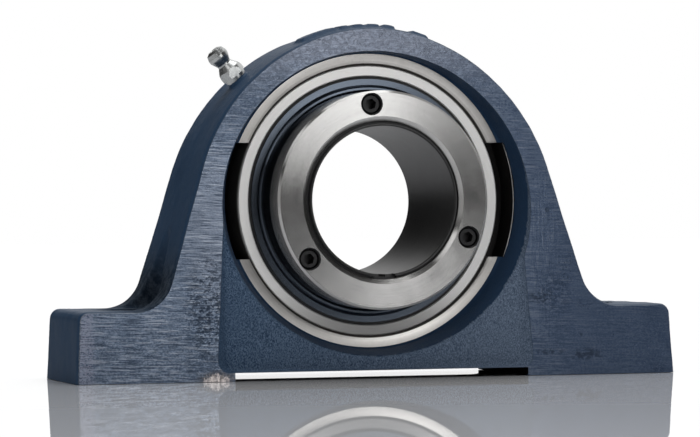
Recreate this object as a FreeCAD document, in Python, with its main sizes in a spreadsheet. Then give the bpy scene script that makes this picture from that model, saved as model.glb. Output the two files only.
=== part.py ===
import FreeCAD, Part
import math
import os
import Sketcher

# Pillow block bearing for a 45 mm shaft: a cast housing on two feet, a ball
# bearing insert that swivels in a spherical seat, a stepped sleeve and a
# collar with three grub screws that clamp the shaft.
#
# Frame: origin at the centre of the spherical seat, +Y along the shaft away
# from the collar side, +X along the length of the base, +Z up.

DOC = FreeCAD.newDocument("pillow_block")
SHEET = DOC.addObject("Spreadsheet::Sheet", "Dims")

# name, value (mm or degrees), meaning
TABLE = [
    ("base_half_length", 94.75, "half length of the base at the floor"),
    ("base_half_depth", 24.0, "half depth of the base at the floor"),
    ("centre_height", 54.0, "seat centre above the floor"),
    ("crown_height", 52.9, "top of the arch above the centre"),
    ("foot_height", 21.4, "height of the feet"),
    ("end_draft", 2.75, "draft of the end faces, degrees"),
    ("face_lean", 4.29, "lean of the front and back faces, degrees"),
    ("crown_arc", 48.2, "radius of the arch at the crown"),
    ("shoulder_arc", 60.06, "radius of the arch at the shoulders"),
    ("shoulder_shift", 2.35, "sideways offset of the shoulder arc centre"),
    ("leg_angle", 16.76, "legs, degrees from upright"),
    ("leg_fillet", 11.4, "fillet from leg to foot"),
    ("foot_round", 3.0, "rounding of the foot ends"),
    ("cast_round", 2.6, "rounding of the cast outer edges"),
    ("ground_off", 0.66, "layer ground off the cast front and back faces"),
    ("channel_half", 46.6, "half length of the relief under the base"),
    ("channel_high", 2.55, "height of the relief under the base, at the front"),
    ("channel_back", 1.0, "height of the relief under the base, at the back"),
    ("panel_plane", 19.6, "centre panel plane from the middle"),
    ("panel_left", 48.4, "left end of the panel at its floor"),
    ("panel_right", 45.0, "right end of the panel at its floor"),
    ("panel_flare", 5.3, "extra length of each end 6 mm in front of the floor"),
    ("panel_corner", 3.6, "rounding of the panel's lower corners"),
    ("seat_ball", 42.55, "radius of the spherical seat"),
    ("seat_half", 10.3, "half width of the machined seat"),
    ("seat_mouth", 42.27, "radius of the seat chamfer at the ring"),
    ("ring_outer", 45.0, "outer radius of the machined ring"),
    ("ring_step", 0.2, "cast floor in front of the machined ring"),
    ("recess_wide", 45.7, "half width of the cast recess at its floor"),
    ("recess_tall", 45.25, "half height of the cast recess at its floor"),
    ("recess_front_wide", 50.9, "half width of the recess 25 mm out"),
    ("recess_front_tall", 47.6, "half height of the recess 25 mm out"),
    ("recess_drop", 1.2, "drop of the recess centre 25 mm out"),
    ("slot_half", 17.7, "half height of the loading slots"),
    ("slot_wall", 46.3, "radius of the loading slots' outer wall"),
    ("duct_groove", 43.8, "radius of the grease groove in the seat"),
    ("bolt_half_pitch", 71.75, "bolt slot centre from the middle"),
    ("bolt_slot_long", 22.5, "bolt slot length"),
    ("bolt_slot_wide", 14.0, "bolt slot width"),
    ("washer_clear", 12.0, "radius of the clearance for a washer"),
    ("nipple_lean", 41.0, "grease nipple axis, degrees from upright"),
    ("nipple_out", 39.3, "grease nipple base, distance left"),
    ("nipple_up", 37.9, "grease nipple base, distance up"),
    ("nipple_thread", 3.0, "radius of the nipple thread"),
    ("nipple_flat", 5.6, "radius of the machined flat"),
    ("ring_ball", 42.5, "radius of the outer ring's spherical outside"),
    ("ring_half", 9.5, "half width of the outer ring"),
    ("outer_land", 36.3, "outer ring land radius"),
    ("seal_seat", 38.17, "seal seat radius in the outer ring"),
    ("pitch_circle", 32.5, "ball pitch circle radius"),
    ("ball_radius", 6.35, "ball radius"),
    ("ball_play", 0.03, "clearance between ball and race"),
    ("race_radius", 6.6, "race groove radius"),
    ("inner_land", 29.6, "inner ring land radius"),
    ("inner_front", 14.2, "inner ring front face from the middle"),
    ("inner_rear", 18.4, "inner ring rear face from the middle"),
    ("bore_radius", 22.5, "shaft radius"),
    ("sleeve_base", 23.35, "sleeve outer radius at the foot of each step"),
    ("step_rise", 0.5, "rise of each step"),
    ("step_pitch", 7.6, "pitch of the steps"),
    ("step_first", 13.0, "first step, in front of the middle"),
    ("step_run", 6.6, "length of each ramp"),
    ("step_gap", 0.05, "clearance between sleeve and inner ring"),
    ("sleeve_front", 25.8, "sleeve front end from the middle"),
    ("sleeve_rear", 21.6, "sleeve rear end from the middle"),
    ("slit", 2.0, "slit through the sleeve"),
    ("notch", 6.7, "notch at the sleeve's front end"),
    ("collar_outer", 33.23, "collar outer radius"),
    ("collar_front", 25.45, "collar front face from the middle"),
    ("collar_rear", 15.3, "collar rear face from the middle"),
    ("collar_mouth", 24.04, "collar counterbore radius"),
    ("collar_bore", 23.4, "collar bore radius"),
    ("screw_circle", 29.3, "pitch circle radius of the grub screws"),
    ("screw_radius", 3.0, "grub screw radius"),
    ("screw_play", 0.05, "clearance around the grub screws"),
    ("screw_first", 97.0, "angle of the first grub screw"),
    ("bar_height", 1.35, "height of the plain bars on the crown"),
    ("bar_half_depth", 4.5, "half depth of the plain bars"),
    ("bar_shift", 7.5, "middle of the plain bars in front of the centre"),
]
for row, (name, value, meaning) in enumerate(TABLE, 1):
    SHEET.set("A%d" % row, meaning)
    SHEET.set("B%d" % row, "%.6g" % value)
    SHEET.setAlias("B%d" % row, name)
DOC.recompute()


class Dim:
    """A number together with the sheet formula that it comes from."""

    def __init__(self, value, text=None):
        self.v = float(value)
        self.t = text if text is not None else "%.9g" % value

    def _mix(self, other, sign, fn, flip=False):
        o = other if isinstance(other, Dim) else Dim(other)
        a, b = (o, self) if flip else (self, o)
        return Dim(fn(a.v, b.v), "(%s %s %s)" % (a.t, sign, b.t))

    def __add__(self, o): return self._mix(o, "+", lambda a, b: a + b)
    def __radd__(self, o): return self._mix(o, "+", lambda a, b: a + b, True)
    def __sub__(self, o): return self._mix(o, "-", lambda a, b: a - b)
    def __rsub__(self, o): return self._mix(o, "-", lambda a, b: a - b, True)
    def __mul__(self, o): return self._mix(o, "*", lambda a, b: a * b)
    def __rmul__(self, o): return self._mix(o, "*", lambda a, b: a * b, True)
    def __truediv__(self, o): return self._mix(o, "/", lambda a, b: a / b)
    def __neg__(self): return Dim(-self.v, "(0 - %s)" % self.t)


def sqrt(d):
    return Dim(math.sqrt(d.v), "sqrt(%s)" % d.t)


D = {name: Dim(value, "Dims." + name) for name, value, _ in TABLE}


def num(x):
    return x.v if isinstance(x, Dim) else float(x)


def dim(x):
    return x if isinstance(x, Dim) else Dim(x)


# ends of the plain bars on the crown, left to right
D_BARS = [(Dim(-21.4), Dim(-10.7)), (Dim(-9.4), Dim(-6.1)), (Dim(-5.1), Dim(-1.9)), (Dim(-0.9), Dim(3.2)),
          (Dim(4.3), Dim(8.1)), (Dim(13.4), Dim(18.7))]
PARTS = []


def new_body(label):
    body = DOC.addObject("PartDesign::Body", label)
    body.Label = label
    PARTS.append(body)
    return body


def plane(body, role):
    for f in body.Origin.OriginFeatures:
        if f.Role == role:
            return f
    raise RuntimeError(role)


def new_sketch(body, name, role, lift=0.0, turn=0.0, shift=(0.0, 0.0)):
    """A sketch on one of the body's own planes, moved along the plane's
    normal by lift, then turned and shifted within it."""
    sk = body.newObject("Sketcher::SketchObject", name)
    sk.AttachmentSupport = [(plane(body, role), "")]
    sk.MapMode = "FlatFace"
    sk.AttachmentOffset = FreeCAD.Placement(
        FreeCAD.Vector(num(shift[0]), num(shift[1]), num(lift)),
        FreeCAD.Rotation(FreeCAD.Vector(0, 0, 1), num(turn)))
    if isinstance(lift, Dim):
        sk.setExpression("AttachmentOffset.Base.z", lift.t)
    return sk


def hold(sk, geo, pos, x, y):
    """Hold one point of a sketch at x, y with sheet formulas."""
    for kind, val, axis in (("DistanceX", x, -2), ("DistanceY", y, -1)):
        if val is None:
            continue
        d = dim(val)
        if abs(d.v) < 1e-9:
            sk.addConstraint(Sketcher.Constraint("PointOnObject", geo, pos, axis))
        else:
            i = sk.addConstraint(Sketcher.Constraint(kind, -1, 1, geo, pos, d.v))
            if "Dims." in d.t:
                sk.setExpression("Constraints[%d]" % i, d.t)


def arc_geo(a, b, c, ccw):
    """Arc from a to b about c."""
    r = math.hypot(a[0] - c[0], a[1] - c[1])
    t0 = math.atan2(a[1] - c[1], a[0] - c[0])
    t1 = math.atan2(b[1] - c[1], b[0] - c[0])
    if not ccw:
        t0, t1 = t1, t0
    if t1 < t0:
        t1 += 2 * math.pi
    circle = Part.Circle(FreeCAD.Vector(c[0], c[1], 0), FreeCAD.Vector(0, 0, 1), r)
    return Part.ArcOfCircle(circle, t0, t1)


def outline(sk, items):
    """Closed profile. Each item is (x, y) for a corner reached by a line, or
    (x, y, r, cx, cy, ccw) for a corner reached by an arc of radius r."""
    pts = [(num(i[0]), num(i[1])) for i in items]
    n = len(items)
    geos = []
    for k in range(n):
        a, b = pts[k - 1], pts[k]
        it = items[k]
        if len(it) == 2:
            g = sk.addGeometry(Part.LineSegment(FreeCAD.Vector(a[0], a[1], 0),
                                                FreeCAD.Vector(b[0], b[1], 0)), False)
            geos.append((g, 1, 2))
        else:
            r, cx, cy, ccw = it[2], num(it[3]), num(it[4]), it[5]
            g = sk.addGeometry(arc_geo(a, b, (cx, cy), ccw), False)
            geos.append((g, 1, 2) if ccw else (g, 2, 1))
    for k in range(n):
        g0, _, e0 = geos[k]
        g1, s1, _ = geos[(k + 1) % n]
        sk.addConstraint(Sketcher.Constraint("Coincident", g0, e0, g1, s1))
    for k in range(n):
        g, _, e = geos[k]
        hold(sk, g, e, items[k][0], items[k][1])
    for k in range(n):
        if len(items[k]) > 2:
            d = dim(items[k][2])
            a, b = pts[k - 1], pts[k]
            if abs(math.hypot(a[0] - b[0], a[1] - b[1]) - 2 * d.v) < 1e-6:
                # half circle: its ends give the radius, so its centre is held
                hold(sk, geos[k][0], 3, items[k][3] if abs(a[0] - b[0]) < abs(a[1] - b[1]) else None,
                     items[k][4] if abs(a[0] - b[0]) >= abs(a[1] - b[1]) else None)
                continue
            i = sk.addConstraint(Sketcher.Constraint("Radius", geos[k][0], d.v))
            if "Dims." in d.t:
                sk.setExpression("Constraints[%d]" % i, d.t)
    return geos


def circle(sk, x, y, r):
    g = sk.addGeometry(Part.Circle(FreeCAD.Vector(num(x), num(y), 0),
                                   FreeCAD.Vector(0, 0, 1), num(r)), False)
    hold(sk, g, 3, x, y)
    d = dim(r)
    i = sk.addConstraint(Sketcher.Constraint("Radius", g, d.v))
    if "Dims." in d.t:
        sk.setExpression("Constraints[%d]" % i, d.t)
    return g


def revolve(body, name, sk, axis="H_Axis", cut=False, angle=360.0):
    f = body.newObject("PartDesign::Groove" if cut else "PartDesign::Revolution", name)
    f.Profile = sk
    f.ReferenceAxis = (sk, [axis])
    f.Angle = angle
    return f


def extrude(body, name, sk, length=None, cut=False, both=False, reverse=False, through=False):
    f = body.newObject("PartDesign::Pocket" if cut else "PartDesign::Pad", name)
    f.Profile = sk
    if through:
        f.Type = "ThroughAll"
    elif length is not None:
        f.Length = num(length)
        if isinstance(length, Dim):
            f.setExpression("Length", length.t)
    if both:
        f.SideType = "Symmetric"
    f.Reversed = reverse
    return f


def volume_drop(body, feature, before):
    DOC.recompute()
    after = body.Shape.Volume
    if not after < before - 1e-6:
        raise RuntimeError("%s removes nothing (%.3f -> %.3f)" % (feature.Name, before, after))
    return after


# ------------------------------------------------------------------ housing
housing = new_body("housing_casting")
base_z = -D["centre_height"]
top_z = base_z + D["foot_height"]
chan_z = base_z + D["channel_high"]
roof_z = base_z + D["channel_back"]
cast_half = D["base_half_depth"] + D["ground_off"]

# Right half of the elevation: crown arc, shoulder arc, straight leg, fillet,
# foot, drafted end, base, relief channel.
sk = new_sketch(housing, "elevation", "XZ_Plane")
th = math.radians(D["leg_angle"].v)
zc1 = D["crown_height"].v - D["crown_arc"].v
# shoulder centre: internally tangent to the crown arc, offset by shoulder_shift
dr = D["shoulder_arc"].v - D["crown_arc"].v
cx2 = -D["shoulder_shift"].v
cz2 = zc1 - math.sqrt(dr * dr - cx2 * cx2)
join = math.atan2(-cx2, zc1 - cz2)
p_join = (D["crown_arc"].v * math.sin(join), zc1 + D["crown_arc"].v * math.cos(join))
p_leg = (cx2 + D["shoulder_arc"].v * math.cos(th), cz2 + D["shoulder_arc"].v * math.sin(th))
fr = D["leg_fillet"].v
run = (p_leg[1] + fr * math.sin(th) - top_z.v - fr) / math.cos(th)
c_fil = (p_leg[0] + run * math.sin(th) + fr * math.cos(th), top_z.v + fr)
p_fil = (c_fil[0] - fr * math.cos(th), c_fil[1] - fr * math.sin(th))
p_top = (c_fil[0], top_z.v)
dg = math.radians(D["end_draft"].v)
ro = D["foot_round"].v
x_end = D["base_half_length"].v - D["foot_height"].v * math.tan(dg)
tang = ro * math.tan((math.pi / 2 - dg) / 2)
p_r0 = (x_end - tang, top_z.v)
c_r = (p_r0[0], top_z.v - ro)
p_r1 = (c_r[0] + ro * math.cos(dg), c_r[1] + ro * math.sin(dg))
V = FreeCAD.Vector


def seg(a, b):
    return sk.addGeometry(Part.LineSegment(V(a[0], a[1], 0), V(b[0], b[1], 0)), False)


g_crown = sk.addGeometry(arc_geo((0, D["crown_height"].v), p_join, (0, zc1), False), False)
g_should = sk.addGeometry(arc_geo(p_join, p_leg, (cx2, cz2), False), False)
g_leg = seg(p_leg, p_fil)
g_fil = sk.addGeometry(arc_geo(p_fil, p_top, c_fil, True), False)
g_foot = seg(p_top, p_r0)
g_round = sk.addGeometry(arc_geo(p_r0, p_r1, c_r, False), False)
g_end = seg(p_r1, (D["base_half_length"].v, base_z.v))
g_base = seg((D["base_half_length"].v, base_z.v), (D["channel_half"].v, base_z.v))
g_wall = seg((D["channel_half"].v, base_z.v), (D["channel_half"].v - 0.4, roof_z.v))
g_roof = seg((D["channel_half"].v - 0.4, roof_z.v), (0, roof_z.v))
g_mid = seg((0, roof_z.v), (0, D["crown_height"].v))
C = Sketcher.Constraint
# ends: arcs drawn clockwise start at their point 2
sk.addConstraint(C("Coincident", g_mid, 2, g_crown, 2))
sk.addConstraint(C("Tangent", g_crown, 1, g_should, 2))
sk.addConstraint(C("Tangent", g_should, 1, g_leg, 1))
sk.addConstraint(C("Tangent", g_leg, 2, g_fil, 1))
sk.addConstraint(C("Tangent", g_fil, 2, g_foot, 1))
sk.addConstraint(C("Tangent", g_foot, 2, g_round, 2))
sk.addConstraint(C("Tangent", g_round, 1, g_end, 1))
sk.addConstraint(C("Coincident", g_end, 2, g_base, 1))
sk.addConstraint(C("Coincident", g_base, 2, g_wall, 1))
sk.addConstraint(C("Coincident", g_wall, 2, g_roof, 1))
sk.addConstraint(C("Coincident", g_roof, 2, g_mid, 1))
sk.addConstraint(C("PointOnObject", g_crown, 3, -2))
sk.addConstraint(C("Horizontal", g_foot))
sk.addConstraint(C("Vertical", g_mid))


def bind(kind, *args):
    *head, d = args
    i = sk.addConstraint(C(kind, *head, d.v))
    sk.setExpression("Constraints[%d]" % i, d.t)


hold(sk, g_mid, 2, 0, D["crown_height"])
bind("Radius", g_crown, D["crown_arc"])
bind("Radius", g_should, D["shoulder_arc"])
bind("DistanceX", -1, 1, g_should, 3, -D["shoulder_shift"])
bind("Radius", g_fil, D["leg_fillet"])
bind("DistanceY", -1, 1, g_foot, 1, top_z)
bind("Radius", g_round, D["foot_round"])
hold(sk, g_end, 2, D["base_half_length"], base_z)
hold(sk, g_wall, 1, D["channel_half"], base_z)
hold(sk, g_wall, 2, D["channel_half"] - 0.4, roof_z)
bind("DistanceY", -1, 1, g_roof, 2, roof_z)
# leg direction, and the drafted end by its offset at the foot height
i = sk.addConstraint(C("Angle", g_leg, 1, g_mid, 2, math.radians(D["leg_angle"].v)))
ok = sk.solve()
if ok != 0:
    sk.delConstraint(i)
DOC.recompute()
if ok == 0:
    sk.setExpression("Constraints[%d]" % i, "%s * 1 deg" % D["leg_angle"].t)
DOC.recompute()

pad = extrude(housing, "half_block", sk, 2 * cast_half, both=True)
mir = housing.newObject("PartDesign::Mirrored", "both_halves")
mir.Originals = [pad]
mir.MirrorPlane = (plane(housing, "YZ_Plane"), [""])
housing.Tip = mir
DOC.recompute()
vol = housing.Shape.Volume



def lean_cut(name, half, before):
    """Cut both faces back to planes that lean inwards towards the crown."""
    lsk = new_sketch(housing, name + "_profile", "YZ_Plane")
    lean_top = half - 120.0 * Dim(math.tan(math.radians(D["face_lean"].v)),
                                  "tan(%s * 1 deg)" % D["face_lean"].t)
    far = half + 6
    for s in (1, -1):
        k = (lambda q: q) if s > 0 else (lambda q: -q)
        outline(lsk, [(k(half), base_z), (k(far), base_z),
                      (k(far), base_z + 120.0), (k(lean_top), base_z + 120.0)])
    cut = extrude(housing, name, lsk, cut=True, both=True, through=True)
    housing.Tip = cut
    return cut, volume_drop(housing, cut, before)


# Cast front and back faces, before grinding.
cutf, vol = lean_cut("cast_faces", cast_half, vol)

# Round the cast edges: every edge that lies on a leaning face, above the base.
slope = math.tan(math.radians(D["face_lean"].v))


def on_face(e):
    if e.Length < 1e-3:
        return False
    for q in (0.0, 0.37, 0.73, 1.0):
        p = e.valueAt(e.FirstParameter + q * (e.LastParameter - e.FirstParameter))
        if abs(abs(p.y) - (cast_half.v - slope * (p.z - base_z.v))) > 1e-3:
            return False
    return True


def pick(shape, keep):
    return ["Edge%d" % (k + 1) for k, e in enumerate(shape.Edges) if keep(e)]


def cast_edge(e):
    return on_face(e) and e.BoundBox.ZMax > chan_z.v + 0.1


fil = housing.newObject("PartDesign::Fillet", "cast_edges")
fil.Base = (cutf, pick(cutf.Shape, cast_edge))
fil.Radius = D["cast_round"].v
fil.setExpression("Radius", D["cast_round"].t)
DOC.recompute()
if "Invalid" in fil.State or "Error" in fil.State or fil.Shape.isNull() or not fil.Shape.isValid():
    raise RuntimeError("cast edge rounding failed")
housing.Tip = fil
vol = housing.Shape.Volume

# The faces are ground flat, which leaves a crisp edge on each rounding.
_, vol = lean_cut("ground_faces", D["base_half_depth"], vol)

# The relief under the base is higher at the front than at the back.
sk = new_sketch(housing, "channel_slope", "YZ_Plane")
rise = (chan_z - roof_z) / (2 * cast_half)
outline(sk, [(-cast_half - 1, base_z - 1.0), (cast_half, base_z - 1.0), (cast_half, roof_z),
             (-cast_half - 1, chan_z + rise)])
cs = extrude(housing, "channel_slope_cut", sk, 2 * D["channel_half"] - 0.8, cut=True, both=True)
housing.Tip = cs
vol = volume_drop(housing, cs, vol)

# Recessed centre panel on both faces: a shallow loft that widens outwards.
lofts = []
for s, tag in ((1, "front"), (-1, "back")):
    secs = []
    low = chan_z if s > 0 else roof_z
    for k, (lift, grow) in enumerate(((D["panel_plane"], Dim(0.0)), (D["panel_plane"] + 6, D["panel_flare"]))):
        sk = new_sketch(housing, "panel_%s_%d" % (tag, k), "XZ_Plane", lift=(lift if s > 0 else -lift))
        le, ri = -D["panel_left"] - grow, D["panel_right"] + grow
        pc = D["panel_corner"]
        outline(sk, [(le + pc, low, pc, le + pc, low + pc, True), (ri - pc, low),
                     (ri, low + pc, pc, ri - pc, low + pc, True),
                     (ri, Dim(12.0)), (le, Dim(12.0)), (le, low + pc)])
        secs.append(sk)
    lf = housing.newObject("PartDesign::SubtractiveLoft", "panel_" + tag)
    lf.Profile = secs[0]
    lf.Sections = [secs[1]]
    lf.Ruled = True
    housing.Tip = lf
    vol = volume_drop(housing, lf, vol)

# Cast recess around the bearing on both faces, oval and flared outwards.
for s, tag in ((1, "front"), (-1, "back")):
    secs = []
    floor = D["seat_half"] + D["ring_step"]
    for k, (lift, wide, tall, drop) in enumerate((
            (floor, D["recess_wide"], D["recess_tall"], Dim(0.0)),
            (floor + 14.5, D["recess_front_wide"], D["recess_front_tall"], D["recess_drop"]))):
        sk = new_sketch(housing, "recess_%s_%d" % (tag, k), "XZ_Plane", lift=(lift if s > 0 else -lift))
        el = Part.Ellipse(V(wide.v, -drop.v, 0), V(0, tall.v - drop.v, 0), V(0, -drop.v, 0))
        g = sk.addGeometry(el, False)
        sk.exposeInternalGeometry(g)
        hold(sk, g, 3, 0, -drop)
        # g+1 major axis line, g+2 minor axis line
        for off, d in ((1, wide), (2, tall)):
            i = sk.addConstraint(C("Distance", g + off, 2 * d.v))
            sk.setExpression("Constraints[%d]" % i, "2 * " + d.t)
        sk.addConstraint(C("Horizontal", g + 1))
        secs.append(sk)
    DOC.recompute()
    lf = housing.newObject("PartDesign::SubtractiveLoft", "recess_" + tag)
    lf.Profile = secs[0]
    lf.Sections = [secs[1]]
    lf.Ruled = True
    housing.Tip = lf
    vol = volume_drop(housing, lf, vol)

# Machined seat: ring faces, chamfers, spherical bore and grease groove.
sk = new_sketch(housing, "seat_profile", "YZ_Plane")
sh = D["seat_half"]
ball = D["seat_ball"]
yc = sh - 0.75
rc = sqrt(ball * ball - yc * yc)
gy = Dim(2.5)
rg = sqrt(ball * ball - gy * gy)
gh = D["duct_groove"]
ys = sh + D["ring_step"] + 0.3
outline(sk, [
    (-ys, 0), (-ys, D["ring_outer"]), (-sh, D["ring_outer"]), (-sh, D["seat_mouth"]),
    (-yc, rc), (-gy, rg, ball, 0, 0, False), (-gy, gh), (gy, gh), (gy, rg),
    (yc, rc, ball, 0, 0, False), (sh, D["seat_mouth"]), (sh, D["ring_outer"]),
    (ys, D["ring_outer"]), (ys, 0)])
gr = revolve(housing, "seat", sk, cut=True)
housing.Tip = gr
vol = volume_drop(housing, gr, vol)

# Loading slots, left and right, from the front face to the middle.
sk = new_sketch(housing, "slots", "XZ_Plane")
hs, rw = D["slot_half"], D["slot_wall"]
xw = sqrt(rw * rw - hs * hs)
for s in (1, -1):
    k = (lambda q: q) if s > 0 else (lambda q: -q)
    inner = k(Dim(34.0))
    outline(sk, [(inner, -hs), (k(xw), -hs), (k(xw), hs, rw, 0, 0, s > 0), (inner, hs)])
sl = extrude(housing, "loading_slots", sk, 14.0, cut=True, reverse=True)
housing.Tip = sl
vol = volume_drop(housing, sl, vol)

# Bolt slots through the feet, and room for a washer above them.
sk = new_sketch(housing, "bolt_slots", "XY_Plane")
hw = D["bolt_slot_wide"] / 2
hl = D["bolt_slot_long"] / 2 - hw
for s in (1, -1):
    c = s * D["bolt_half_pitch"]
    outline(sk, [(c + hl, -hw), (c + hl, hw, hw, c + hl, 0, True),
                 (c - hl, hw), (c - hl, -hw, hw, c - hl, 0, True)])
bs = extrude(housing, "bolt_slots_cut", sk, cut=True, both=True, through=True)
housing.Tip = bs
vol = volume_drop(housing, bs, vol)
w = D["washer_clear"]
for s, tag in ((1, "right"), (-1, "left")):
    c = s * D["bolt_half_pitch"]
    sk = new_sketch(housing, "washer_room_" + tag, "XZ_Plane")
    outline(sk, [(c, top_z), (c + s * w, top_z), (c + s * w, top_z + 4.0),
                 (c + s * (w - 1.2), top_z + 9.0), (c + s * (w - 4.2), top_z + 16.0),
                 (c + s * (w - 7.0), top_z + 19.0), (c, top_z + 20.0)])
    line = sk.addGeometry(Part.LineSegment(V(c.v, top_z.v - 5, 0), V(c.v, top_z.v + 30, 0)), True)
    sk.addConstraint(C("Vertical", line))
    hold(sk, line, 1, c, top_z - 5.0)
    wr = revolve(housing, "washer_room_cut_" + tag, sk, axis="Axis0", cut=True)
    housing.Tip = wr
    vol = volume_drop(housing, wr, vol)

# Nipple seat: machined flat, threaded hole and duct down to the groove.
nl = D["nipple_lean"]
sk = new_sketch(housing, "nipple_seat", "XZ_Plane", turn=nl.v,
                shift=(-D["nipple_out"].v, D["nipple_up"].v))
nf, nt = D["nipple_flat"], D["nipple_thread"]
outline(sk, [(0, -14.0), (1.5, -14.0), (1.5, -7.0), (nt, -6.2), (nt, 0), (nf, 0), (nf, 9.0), (0, 9.0)])
ns = revolve(housing, "nipple_seat_cut", sk, axis="V_Axis", cut=True)
housing.Tip = ns
vol = volume_drop(housing, ns, vol)

# Plain raised bars on the crown, between the cast edges.
sk = new_sketch(housing, "crown_bars", "XZ_Plane", lift=D["bar_shift"])
for xa, xb in D_BARS:
    ra, rb = D["crown_arc"] - 1.0, D["crown_arc"] + D["bar_height"]
    zc = D["crown_height"] - D["crown_arc"]
    outline(sk, [(xa, zc + sqrt(rb * rb - xa * xa)), (xb, zc + sqrt(rb * rb - xb * xb), rb, 0, zc, False),
                 (xb, zc + sqrt(ra * ra - xb * xb)), (xa, zc + sqrt(ra * ra - xa * xa), ra, 0, zc, True)])
before = housing.Shape.Volume
bars = extrude(housing, "raised_bars", sk, 2 * D["bar_half_depth"], both=True)
housing.Tip = bars
DOC.recompute()
if not housing.Shape.Volume > before + 10:
    raise RuntimeError("bars add nothing")
bar_top = D["crown_arc"].v + D["bar_height"].v


def bar_edge(e):
    for q in (0.0, 0.37, 0.73, 1.0):
        p = e.valueAt(e.FirstParameter + q * (e.LastParameter - e.FirstParameter))
        if abs(math.hypot(p.x, p.z - zc1) - bar_top) > 1e-3 or abs(p.y + D["bar_shift"].v) > D["bar_half_depth"].v + 1e-3:
            return False
    return e.Length > 0.5


bf = housing.newObject("PartDesign::Fillet", "bar_edges")
bf.Base = (bars, pick(bars.Shape, bar_edge))
bf.Radius = 0.5
DOC.recompute()
if "Invalid" in bf.State or "Error" in bf.State or bf.Shape.isNull() or not bf.Shape.isValid():
    raise RuntimeError("bar rounding failed")
housing.Tip = bf

# ------------------------------------------------------------ grease nipple
nipple_at = FreeCAD.Placement(V(-D["nipple_out"].v, 0, D["nipple_up"].v),
                              FreeCAD.Rotation(V(0, 1, 0), -nl.v))
nip = new_body("grease_nipple_body")
sk = new_sketch(nip, "profile", "XZ_Plane")
hd, hz = 3.25, 8.6                                # head radius and height
outline(sk, [
    (0.9, -6.0), (nt - 0.5, -6.0), (nt, -5.4), (nt, 0), (3.45, 0), (3.45, 0.9), (4.05, 0.9),
    (4.05, 2.2), (3.6, 3.6), (2.35, 5.4), (2.35, 5.9), (3.05, 7.5), (hd, 8.1), (hd, 9.0), (2.75, 10.4), (1.7, 11.0), (1.0, 11.0),
    (0.8, 10.7), (0.8, 10.0), (1.35, 9.4), (1.35, 1.0), (0.9, 0.4)])
rv = revolve(nip, "turned", sk, axis="V_Axis")
DOC.recompute()
v0 = nip.Shape.Volume
# hexagon flats across 7 mm: everything outside the hexagon between base and neck
sk = new_sketch(nip, "hexagon", "XY_Plane")
af = 3.5
hexp = [(af / math.cos(math.pi / 6) * math.cos(math.radians(60 * k)),
         af / math.cos(math.pi / 6) * math.sin(math.radians(60 * k))) for k in range(6)]
outline(sk, hexp)
circle(sk, 0, 0, 6.0)
hx = extrude(nip, "hexagon_flats", sk, 4.6, cut=True, reverse=True)
nip.Tip = hx
volume_drop(nip, hx, v0)
nip.Placement = nipple_at

chk = DOC.addObject("Part::Sphere", "nipple_check_ball")
chk.Label = "nipple_check_ball"
chk.Radius = 1.2
# seats under the conical mouth of the head
chk.Placement = nipple_at.multiply(FreeCAD.Placement(V(0, 0, 9.07), FreeCAD.Rotation()))
PARTS.append(chk)

# Compression spring between the shoulder of the chamber and the check ball.
spring = DOC.addObject("Part::Feature", "nipple_spring")
spring.Label = "nipple_spring"
wire_r, coil_r, turns, z_lo, z_hi = 0.14, 1.0, 6, 0.65, 8.28
pitch = (z_hi - z_lo - 2 * wire_r) / turns
helix = Part.makeHelix(pitch, pitch * turns, coil_r)
prof = Part.Wire([Part.makeCircle(wire_r, V(coil_r, 0, 0), V(0, 1, 0))])
coil = Part.Wire(helix).makePipeShell([prof], True, True)
spring.Shape = coil
spring.Placement = nipple_at.multiply(FreeCAD.Placement(V(0, 0, z_lo + wire_r), FreeCAD.Rotation()))
PARTS.append(spring)

# --------------------------------------------------------------- outer ring
outer = new_body("outer_ring")
sk = new_sketch(outer, "profile", "YZ_Plane")
R, B = D["ring_ball"], D["ring_half"]
yo = B - 0.35
ro_ = sqrt(R * R - yo * yo)
ol, ss = D["outer_land"], D["seal_seat"]
gc = D["pitch_circle"] + D["ball_radius"] + D["ball_play"] - D["race_radius"]
gr_ = D["race_radius"]
yg = sqrt(gr_ * gr_ - (ol - gc) * (ol - gc))
ya = Dim(6.9)
outline(sk, [
    (-B, ss + 0.25), (-B, ro_ - 0.35), (-yo, ro_), (yo, ro_, R, 0, 0, False),
    (B, ro_ - 0.35), (B, ss + 0.25), (B - 0.25, ss), (ya, ss), (ya, ol), (yg, ol),
    (-yg, ol, gr_, 0, gc.v, True), (-ya, ol), (-ya, ss), (-(B - 0.25), ss)])
revolve(outer, "turned", sk)
DOC.recompute()
v0 = outer.Shape.Volume
# two small grease holes through the ring beside the race
sk = new_sketch(outer, "grease_hole", "XY_Plane")
circle(sk, 0, 6.05, 0.6)
gh_ = extrude(outer, "grease_holes", sk, cut=True, both=True, through=True)
outer.Tip = gh_
volume_drop(outer, gh_, v0)

# -------------------------------------------------------------------- seals
lip = D["inner_land"] + 0.08
for s, label in ((-1, "front_seal"), (1, "rear_seal")):
    b = new_body(label)
    sk = new_sketch(b, "profile", "YZ_Plane")
    k = (lambda q: -dim(q)) if s < 0 else (lambda q: dim(q))
    outline(sk, [(k(7.0), 36.9), (k(7.0), ss), (k(8.7), ss), (k(8.7), 37.0), (k(8.45), 36.6),
                 (k(8.45), 31.6), (k(8.75), 30.9), (k(8.75), lip + 0.25), (k(8.55), lip), (k(8.05), lip),
                 (k(7.75), 30.6), (k(7.75), 36.4)])
    revolve(b, "moulded", sk)

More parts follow.
